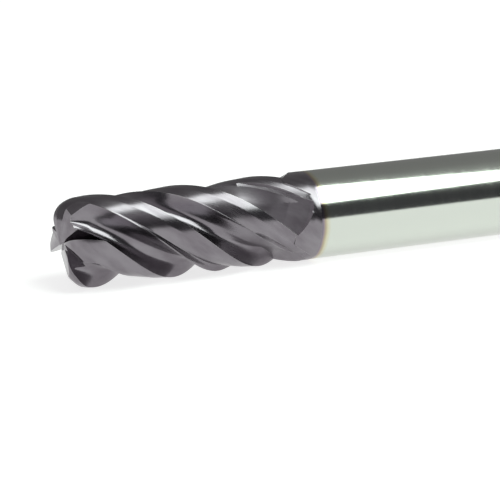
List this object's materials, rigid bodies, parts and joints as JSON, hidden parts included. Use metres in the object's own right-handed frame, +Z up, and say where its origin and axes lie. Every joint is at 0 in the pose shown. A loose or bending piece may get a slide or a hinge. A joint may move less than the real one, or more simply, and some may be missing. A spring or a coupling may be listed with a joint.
{
  "type": "end mill",
  "caption": "Solid carbide end mill with helical flutes, a large corner radius, a dark coated cutting end and a bright plain shank.",
  "frame": {"origin": "on the surface the tool lies on, under the middle of its length", "axes": "+X along the tool's axis from the cutting tip to the shank's rear end, +Z up"},
  "size_m": [0.083, 0.012, 0.012],
  "materials": {
    "coated_carbide": "dark violet-grey hard coating over fine grinding marks, semi-gloss",
    "ground_carbide": "bright bare carbide, finely ground to a near mirror"
  },
  "bodies": {
    "root": {"cutting_head": "coated_carbide", "shank": "ground_carbide"}
  },
  "joints": []
}
